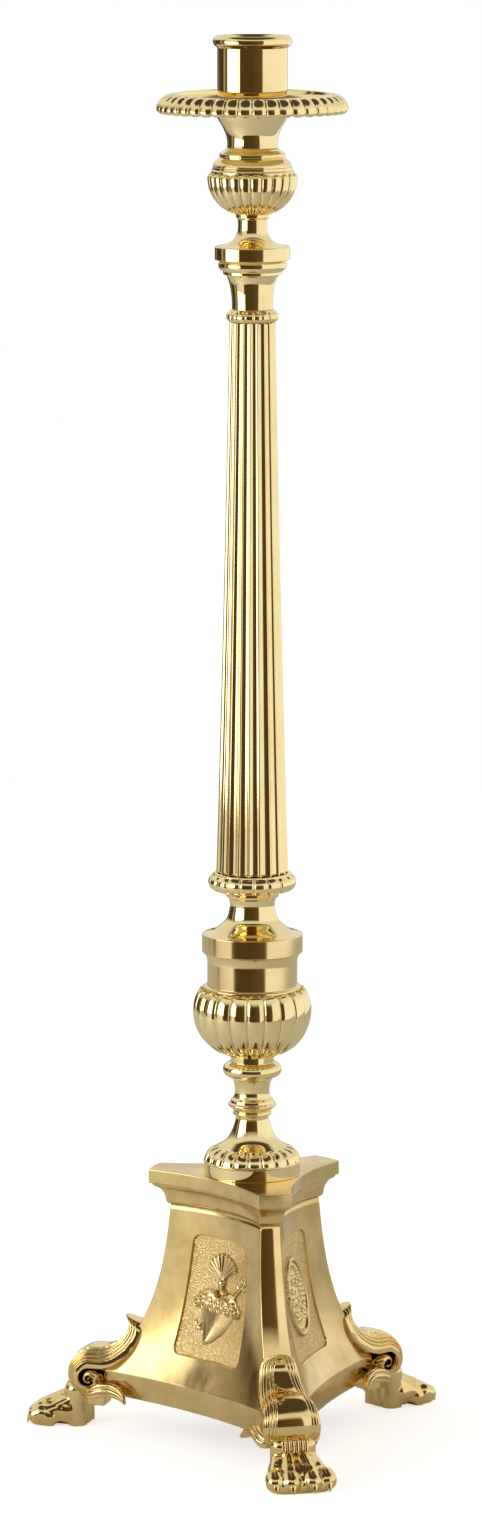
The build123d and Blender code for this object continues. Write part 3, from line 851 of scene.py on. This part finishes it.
def medallion_relief(x, y):
    """An oval medallion with beads, three flowers and tendrils."""
    y -= relief_middle
    height, inward = oval_rim(x, y, *medallion_half, 3.2, 3.0)
    if inward < 0:
        return 0.0
    if height:
        return max(height, 0.6)
    height = 0.6
    if inward < 6.6:
        bead = abs(sin(atan2(y / medallion_half[1], x / medallion_half[0]) * 20))
        height = max(height, 0.6 + dome(hypot(inward - 4.9, (1 - bead) * 2.2), 1.5, 1.3))
    for cy, radius, petals in ((0, 7.4, 8), (13.4, 5.2, 6), (-13.4, 5.2, 6)):
        height = max(height, 0.6 + rosette(x, y - cy, radius, petals, 2.0))
    for cx, cy, hand in ((-7.4, 8, 1), (7.4, 8, -1), (-7.4, -8, 1), (7.4, -8, -1)):
        height = max(height, 0.6 + tendril(x, y, (cx, cy), 4.0, 1.6, 0.9, 1.6, hand))
    return height


def rosette_relief(x, y):
    """A large flower in a round rim."""
    y -= relief_middle
    height, inward = oval_rim(x, y, 22, 22, 2.6, 2.4)
    if inward < 0:
        return 0.0
    return max(height, rosette(x, y, 17.5, 8, 3.2), rosette(x, y, 8.5, 6, 4.2))


def plaque_skins(face_angle, relief, columns, rows):
    """Points of a plaque's front and back, and how far the relief lifts each of them."""
    out, side = facing(face_angle)
    front, back, lifts = [], [], []
    for j in range(rows + 1):
        height = plaque_bottom + plaque_gap + (plaque_top - plaque_bottom - 2 * plaque_gap) * j / rows
        reach, width = corner_shape(height)
        half_chord, nearest, bow = face_shape(reach, width, body_sag)
        half = panel_half(height) - plaque_gap
        for i in range(columns + 1):
            x = half * (2 * i / columns - 1)
            depth = face_depth(x, nearest, bow)
            lift = relief(x, height)
            lifts.append(lift)
            place = out * (depth - plaque_ground + lift) + side * x
            front.append((place.x, place.y, height))
            place = out * (depth - plaque_back + plaque_gap) + side * x
            back.append((place.x, place.y, height))
    return front, back, lifts


def plaque_faces(columns, rows, lifts):
    """Faces of a plaque's front, back and edge, with a mark of 1 on those that are relief."""
    wide = columns + 1
    count = len(lifts)
    faces, marks = [], []
    for j in range(rows):
        for i in range(columns):
            a = j * wide + i
            quad = (a, a + 1, a + wide + 1, a + wide)
            faces += [quad, tuple(count + k for k in reversed(quad))]
            marks += [int(min(lifts[k] for k in quad) > relief_edge), 0]
    edge = list(range(columns)) + [j * wide + columns for j in range(rows)]
    edge += [rows * wide + i for i in range(columns, 0, -1)] + [j * wide for j in range(rows, 0, -1)]
    for here, ahead in zip(edge, edge[1:] + edge[:1]):
        faces.append((ahead, here, count + here, count + ahead))
        marks.append(0)
    return faces, marks


def plaque(name, face_angle, relief):
    """A plaque that lies in its pocket: curved like the face, with a relief on a punched ground."""
    columns = round(2 * plaque_bottom_half / relief_step)
    rows = round((plaque_top - plaque_bottom) / relief_step)
    front, back, lifts = plaque_skins(face_angle, relief, columns, rows)
    faces, marks = plaque_faces(columns, rows, lifts)
    piece = solid(name + "_cast", front + back, faces)
    piece.data.materials.append(matte)
    piece.data.materials.append(relief_brass)
    piece.data.polygons.foreach_set("material_index", marks)
    finish_piece(piece, matte, "stand", name)


plaque("heart_plaque", -150, heart_relief)
plaque("medallion_plaque", -30, medallion_relief)
plaque("rear_plaque", 90, rosette_relief)

# ------------ feet: reeded scroll, tail leaves and paw
eye = Vector((118.5, 36.0))
scroll_reach = 23.0
scroll_growth = 1.06 / (2 * pi)
scroll_turns = 1.62
scroll_step = 7.0
reed_count = 4
section_points = 240
widest_share = 0.07
reed_end = 76.0
reed_depth = 0.13
along_power = 0.78
aside_power = 0.68
leaf_sides = 48
leaf_ridge = 0.36
lump_sides = 20
lump_rows = 14
lug_ease = 0.8


def on_scroll(turn):
    """A point on the edge of the volute, where turn 0 is its top and it rolls forward and down."""
    reach = scroll_reach * exp(-scroll_growth * turn)
    return eye + Vector((sin(turn), cos(turn))) * reach


def scroll_stations():
    """Outer point, inner point, half width, where the reeds begin and how strong they are."""
    strap = ((95.0, 82.6, 79.8, 78.0, 3.0), (94.8, 82.2, 79.7, 77.4, 6.2), (94.0, 81.0, 79.6, 76.4, 8.8),
             (93.0, 79.4, 79.7, 75.0, 10.6), (92.2, 77.2, 79.9, 73.5, 11.9), (91.9, 74.6, 80.3, 71.8, 12.8),
             (92.6, 71.6, 81.2, 68.6, 13.7), (95.0, 68.2, 83.2, 63.4, 14.7), (98.6, 64.8, 87.0, 57.0, 15.5),
             (103.4, 61.4, 92.8, 51.6, 16.5), (108.8, 59.4, 99.6, 46.6, 17.5),
             (113.8, 58.9, 108.0, 43.8, 18.5))
    stations = []
    fine = [strap[0], *curve(strap, 4)]
    for k, (ox, oz, ix, iz, half) in enumerate(fine):
        share = k / len(fine)
        stations.append((Vector((ox, oz)), Vector((ix, iz)), half, 3 + 20 * share, 1.0))
    steps = round(scroll_turns * 360 / scroll_step)
    for k in range(steps + 1):
        turn = radians(k * scroll_step)
        share = k / steps
        half = 19.2 + 1.8 * sin(min(turn, pi)) - 2.6 * max(0.0, 1 - abs(turn - 3.6) / 1.6)
        fade = min(1.0, max(0.0, (3.9 - turn) / 0.9))
        outer = on_scroll(turn)
        inner = on_scroll(turn + 2 * pi) if share < 1 else eye
        stations.append((outer, inner, half * (1 - 0.08 * share), 23 + 6 * min(1.0, turn), fade))
    return stations


def reeds(around, first, strength, half):
    """How deep the skin sinks between the reeds, at one angle round the scroll's section."""
    if not first < around < reed_end:
        return 0.0
    across = (around - first) / (reed_end - first) * reed_count
    off = 2 * (across % 1) - 1
    return strength * reed_depth * half * (1 - sqrt(max(0.0, 1 - off * off)))


def scroll_mesh():
    """The scroll as one closed tube that leans on the corner and winds into its eye."""
    rings = []
    for outer, inner, half, first, strength in scroll_stations():
        middle = inner + (outer - inner) * widest_share
        ring = []
        for k in range(section_points):
            around = 360 * k / section_points
            c, s = cos(radians(around)), sin(radians(around))
            along = abs(c) ** along_power * (1 if c > 0 else -1)
            aside = abs(s) ** aside_power * (1 if s > 0 else -1)
            sink = reeds(min(around, 360 - around), first, strength, half)
            arm = outer - middle if c > 0 else middle - inner
            place = middle + arm * along * (1 - sink * abs(c) / max(arm.length, 2.5))
            ring.append((place.x, aside * half - s * sink, place.y))
        rings.append(ring)
    return rings


def capped(rings):
    """Vertices and faces of a tube whose two ends are closed by fans."""
    count = len(rings[0])
    verts = [point for ring in rings for point in ring]
    faces = ring_faces(len(rings), count, False)
    for ring, start in ((rings[0], 0), (rings[-1], (len(rings) - 1) * count)):
        centre = len(verts)
        verts.append(tuple(sum(p[axis] for p in ring) / count for axis in range(3)))
        for i in range(count):
            pair = (start + i, start + (i + 1) % count)
            faces.append((centre, *pair) if start else (centre, *reversed(pair)))
    return verts, faces


def leaf_mesh(side):
    """A ridged leaf that runs back from the scroll along the bottom edge of the body."""
    spine = curve([(121, 15.0, 25.0, 3.5), (116, 18.5, 26.5, 5.0), (109, 20.2, 29.0, 5.6),
                   (101, 20.6, 30.0, 5.4), (94, 22.2, 28.4, 4.6), (89.5, 24.4, 25.6, 3.4),
                   (87.5, 25.8, 22.9, 1.2)], 6)
    rings = []
    for x, y, height, half in spine:
        ring = []
        thick = 0.30 * half + 2.6
        for around in turns(leaf_sides):
            ridge = 1 - leaf_ridge * (1 - abs(cos(around * 3)))
            ring.append((x, side * (y + thick * cos(around) * ridge), height + half * sin(around) * ridge))
        rings.append(ring)
    return capped(rings)


def blob(start, end):
    """A tapered capsule between two balls, each given as x, y, z and radius."""
    a, b = Vector(start[:3]), Vector(end[:3])
    axis = (b - a) if (b - a).length > tiny else Vector((0, 0, 1))
    turn = axis.to_track_quat("Z", "Y")
    levels = [(a, start[3], k) for k in range(lump_rows // 2)]
    levels += [(b, end[3], k) for k in range(lump_rows // 2, lump_rows + 1)]
    verts = []
    for centre, radius, k in levels:
        slant = -pi / 2 + pi * k / lump_rows
        for t in turns(lump_sides):
            place = Vector((radius * cos(slant) * cos(t), radius * cos(slant) * sin(t), radius * sin(slant)))
            verts.append(tuple(centre + turn @ place))
    return verts, ring_faces(len(levels), lump_sides, False)


toe_places = (-18.2, -7.4, 7.4, 18.2)
outer_toe_back = 3.4


def toe_back(y):
    """How far a toe stands back: only the outer two do."""
    return outer_toe_back if abs(y) > 10 else 0.0


def paw_lumps():
    """The lumps that melt together into a paw: heel, ankle, instep, and toes with two knuckles."""
    lumps = [blob((130.5, y, 25, 8.0), (130.5, y, -12, 8.0)) for y in (-8.4, 0, 8.4)]
    lumps += [blob((137, 0, 11, 12.5), (148, 0, 6.5, 12.5)),
             blob((138, 8, 10, 11.5), (138, -8, 10, 11.5)), blob((149, 14, 6, 9.5), (149, -14, 6, 9.5)),
             blob((156, 12, 4, 8.0), (156, -12, 4, 8.0))]
    for y in toe_places:
        back = toe_back(y)
        lumps += [blob((130 - back, y * 0.52, 24.5 - back, 4.6), (147 - back, y * 0.82, 15.6 - back, 4.9)),
                  blob((147 - back, y * 0.84, 14.6 - back, 5.4), (152 - back, y * 0.92, 12.6 - back, 5.6)),
                  blob((157 - back, y, 8.4, 6.9), (160 - back, y * 1.01, 6.8, 6.9))]
    return lumps


def joined(parts):
    """Several lists of vertices and faces as one."""
    verts, faces = [], []
    for some_verts, some_faces in parts:
        start = len(verts)
        verts += some_verts
        faces += [tuple(start + k for k in face) for face in some_faces]
    return verts, faces


def paw_mesh():
    """The paw's lumps melted into one skin, flat underneath; the claws at the tips of the toes are added with
    the foot.
    """
    rough = solid("paw_rough", *joined(paw_lumps()))
    melt = rough.modifiers.new("melt", "REMESH")
    melt.mode = "VOXEL"
    melt.voxel_size = 0.75 * MM
    soften = rough.modifiers.new("soften", "SMOOTH")
    soften.iterations = 3
    soften.factor = 0.5
    graph = bpy.context.evaluated_depsgraph_get()
    done = rough.evaluated_get(graph).to_mesh()
    verts = []
    for vertex in done.vertices:
        x, y, height = (c / MM for c in vertex.co)
        arch = 3.2 * sqrt(max(0.0, 1 - ((x - 139) / 5.5) ** 2)) if abs(y) > 11 else 0.0
        verts.append((x, y, max(height, arch)))
    faces = [tuple(polygon.vertices) for polygon in done.polygons]
    rough.evaluated_get(graph).to_mesh_clear()
    bpy.data.objects.remove(rough)
    return verts, faces


def claw(y):
    """A small pointed claw on the tip of a toe."""
    rings = []
    for x, height, radius in ((160, 9.6, 2.4), (164, 8.0, 2.5), (166.6, 5.0, 2.0), (167.6, 1.8, 0.9),
                              (167.7, 0.5, 0.2)):
        rings.append([(x - toe_back(y) + 0.3 * radius * cos(t), y * 1.04 + radius * sin(t),
                       max(height + 0.8 * radius * cos(t), 0)) for t in turns(lump_sides)])
    return capped(rings)


def block(x0, x1, y0, y1, z0, z1):
    """A block with eased edges along its length, for the lug behind the ankle."""
    cy, cz = (y0 + y1) / 2, (z0 + z1) / 2
    rings = []
    for x, pull in ((x0, lug_ease), (x0 + lug_ease, 0), (x1 - lug_ease, 0), (x1, lug_ease)):
        ring = []
        for k, (y, height) in enumerate(((y0, z0), (y1, z0), (y1, z1), (y0, z1))):
            eases = ((lug_ease, 0), (0, lug_ease)) if k % 2 else ((0, lug_ease), (lug_ease, 0))
            for wide, tall in eases:
                ring.append((x, y - (wide + pull) * (1 if y > cy else -1),
                             height - (tall + pull) * (1 if height > cz else -1)))
        rings.append(ring)
    return capped(rings)


def tuft_collar():
    """A row of short tufts down the front of the ankle, over a thin rolled line."""
    parts = [blob((137.6, -9, 19.6, 1.3), (137.6, 9, 19.6, 1.3))]
    for k in range(6):
        y = 3.2 * (k - 2.5)
        parts.append(blob((136.2, y, 29.5, 2.0), (138.4, y, 23.6, 1.5)))
    return parts


def foot(name, angle, paw):
    """One foot of scroll, leaves, paw, claws and lug, turned to its corner."""
    parts = [capped(scroll_mesh()), leaf_mesh(1), leaf_mesh(-1), paw, block(109, 124, -8, 8, 14.6, 25.0)]
    parts += [claw(y) for y in toe_places] + tuft_collar()
    verts, faces = joined(parts)
    turn = radians(angle)
    placed = [(x * cos(turn) - y * sin(turn), x * sin(turn) + y * cos(turn), height)
              for x, y, height in verts]
    piece = solid(name + "_cast", placed, faces)
    fix_normals(piece)
    finish_piece(piece, foot_brass, "stand", name)


paw = paw_mesh()
foot("foot_front", front_angle, paw)
foot("foot_right", front_angle + corner_step, paw)
foot("foot_left", front_angle + 2 * corner_step, paw)

# ------------ CAD pieces that stay
def paint(material, *names):
    """Give CAD pieces their material."""
    for name in names:
        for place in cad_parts[name].material_slots:
            place.material = material


paint(steel, "plaque_screws", "foot_screws", "foot_washers", "tie_rod", "rod_washer", "rod_nut")
paint(satin, "column_plug_lower", "column_plug_upper")


# ------------ camera, light and floor
# Camera: angles in degrees, distances in metres, lens in millimetres
camera_azimuth = -12.5
camera_distance = 4.6
camera_height = 1.215
camera_pitch = 8.976
camera_aside = -0.008
camera_lens = 155.5

# Floor: its radius and how far its middle lies behind the object, in millimetres
floor_radius = 2000.0
floor_shift = 900.0
floor_glow = 0.6
floor_sides = 96

# Light round the studio: angle from the camera's line, brightness, and how warm it is
studio_peak = 3.2
warm_green_loss = 0.36
warm_blue_loss = 0.76
upper_light = 0.26
back_lift = 0.5
studio_stops = (
    (-180, 0.12, 0.8), (-150, 0.06, 1.0), (-146, 0.45, 0.2), (-142, 0.08, 0.8), (-112, 0.06, 1.0),
    (-105, 0.60, 0.3), (-101, 0.12, 0.6), (-94, 0.10, 0.6), (-90, 0.75, 0.2), (-70, 0.85, 0.1),
    (-50, 0.95, 0.0), (-47, 0.20, 0.8), (-40, 0.075, 1.0), (-5, 0.075, 1.0), (26, 0.12, 1.0),
    (32, 0.16, 0.9), (35, 1.0, 0.0), (150, 1.05, 0.0), (166, 0.6, 0.1), (180, 0.15, 0.5),
)

# Softboxes on the left, in metres: each spans two angles from the camera's line and has its brightness
softbox_distance = 1.6
softbox_bottom = 0.27
softbox_top = 1.15
softboxes = ((-88.0, -49.0, 2.6), (-46.0, -42.0, 2.4))


def add_camera():
    """The camera at the side of the front paw, a little above the candlestick, looking slightly down."""
    turn = radians(camera_azimuth)
    back = Vector((sin(turn), -cos(turn), 0))
    right = Vector((cos(turn), sin(turn), 0))
    data = bpy.data.cameras.new("camera")
    data.sensor_width = 36
    data.lens = camera_lens
    camera = bpy.data.objects.new("camera", data)
    camera.location = back * camera_distance + right * camera_aside + Vector((0, 0, camera_height))
    pitch = radians(camera_pitch)
    look = -back * cos(pitch) - Vector((0, 0, sin(pitch)))
    camera.rotation_euler = look.to_track_quat("-Z", "Y").to_euler()
    bpy.context.scene.collection.objects.link(camera)
    bpy.context.scene.camera = camera


def studio_ramp(tree, turn):
    """The light round the studio, as a colour for each angle from the camera's line."""
    ramp = node(tree, "ValToRGB", Fac=ranged(tree, turn, -pi, pi))
    elements = ramp.color_ramp.elements
    elements[0].position = 0.0
    elements[1].position = 1.0
    for degree, level, warmth in studio_stops[1:-1]:
        elements.new((degree + 180) / 360)
    for element, (degree, level, warmth) in zip(elements, studio_stops):
        share = level / studio_peak
        parts = (1, 1 - warm_green_loss * warmth, 1 - warm_blue_loss * warmth)
        element.color = (*(share * part for part in parts), 1)
    return ramp.outputs["Color"]


def studio_world():
    """A studio round the object: bright at both sides, dark in front, and white where seen directly."""
    world = bpy.data.worlds.new("studio")
    world.use_nodes = True
    bpy.context.scene.world = world
    tree = world.node_tree
    place = node(tree, "TexCoord").outputs["Generated"]
    spin = node(tree, "VectorRotate")
    spin.rotation_type = "Z_AXIS"
    feed(tree, spin.inputs["Vector"], place)
    feed(tree, spin.inputs["Angle"], radians(-camera_azimuth))
    split = node(tree, "SeparateXYZ", Vector=spin.outputs["Vector"]).outputs
    ahead = calculated(tree, "MULTIPLY", split["Y"], -1)
    light = studio_ramp(tree, calculated(tree, "ARCTAN2", split["X"], ahead))
    # Higher up the light is even, and straight overhead the studio is dark
    behind = ranged(tree, split["Y"], 0, 1, 0, back_lift)
    height = calculated(tree, "ADD", split["Z"], behind)
    upper = (upper_light, upper_light, upper_light * 0.97, 1)
    light = mixed(tree, ranged(tree, height, 0.45, 0.62), light, upper)
    light = mixed(tree, ranged(tree, split["Z"], 0.74, 0.84), light, (0.025, 0.019, 0.012, 1))
    seen = node(tree, "LightPath").outputs["Is Camera Ray"]
    white = 1 / studio_peak
    background = tree.nodes["Background"].inputs
    feed(tree, background["Color"], mixed(tree, seen, light, (white, white, white, 1)))
    feed(tree, background["Strength"], studio_peak)


def add_softboxes():
    """Soft rectangular lights to the left of the camera, seen only as reflections."""
    for first, last, brightness in softboxes:
        middle = radians(camera_azimuth + (first + last) / 2)
        half = radians(last - first) / 2
        data = bpy.data.lights.new("softbox", "AREA")
        data.shape = "RECTANGLE"
        data.size = 2 * softbox_distance * tan(half)
        data.size_y = softbox_top - softbox_bottom
        data.energy = brightness * pi * data.size * data.size_y
        softbox = bpy.data.objects.new("softbox", data)
        softbox.location = (softbox_distance * sin(middle), -softbox_distance * cos(middle),
                            (softbox_top + softbox_bottom) / 2)
        inward = Vector((-sin(middle), cos(middle), 0))
        softbox.rotation_euler = inward.to_track_quat("-Z", "Y").to_euler()
        softbox.visible_camera = False
        bpy.context.scene.collection.objects.link(softbox)


def add_floor():
    """A plain pale round floor that reaches further behind the candlestick than in front of it."""
    material = bpy.data.materials.new("pale_floor")
    material.use_nodes = True
    tree = material.node_tree
    shader = tree.nodes["Principled BSDF"].inputs
    feed(tree, shader["Base Color"], (0.93, 0.93, 0.92, 1))
    feed(tree, shader["Roughness"], 0.9)
    feed(tree, shader["Emission Color"], (1, 1, 1, 1))
    # The floor glows only where it is seen directly, so that it is pale but throws no light on the brass
    seen = node(tree, "LightPath").outputs["Is Camera Ray"]
    feed(tree, shader["Emission Strength"], ranged(tree, seen, 0, 1, 0, floor_glow))
    away = radians(camera_azimuth)
    middle = Vector((-sin(away), cos(away), 0)) * floor_shift
    rim = [middle + Vector((cos(turn), sin(turn), 0)) * floor_radius for turn in turns(floor_sides)]
    floor = solid("floor", rim, [tuple(range(floor_sides))])
    floor.data.materials.append(material)


add_camera()
studio_world()
add_softboxes()
add_floor()
bpy.context.scene.view_settings.view_transform = "Standard"
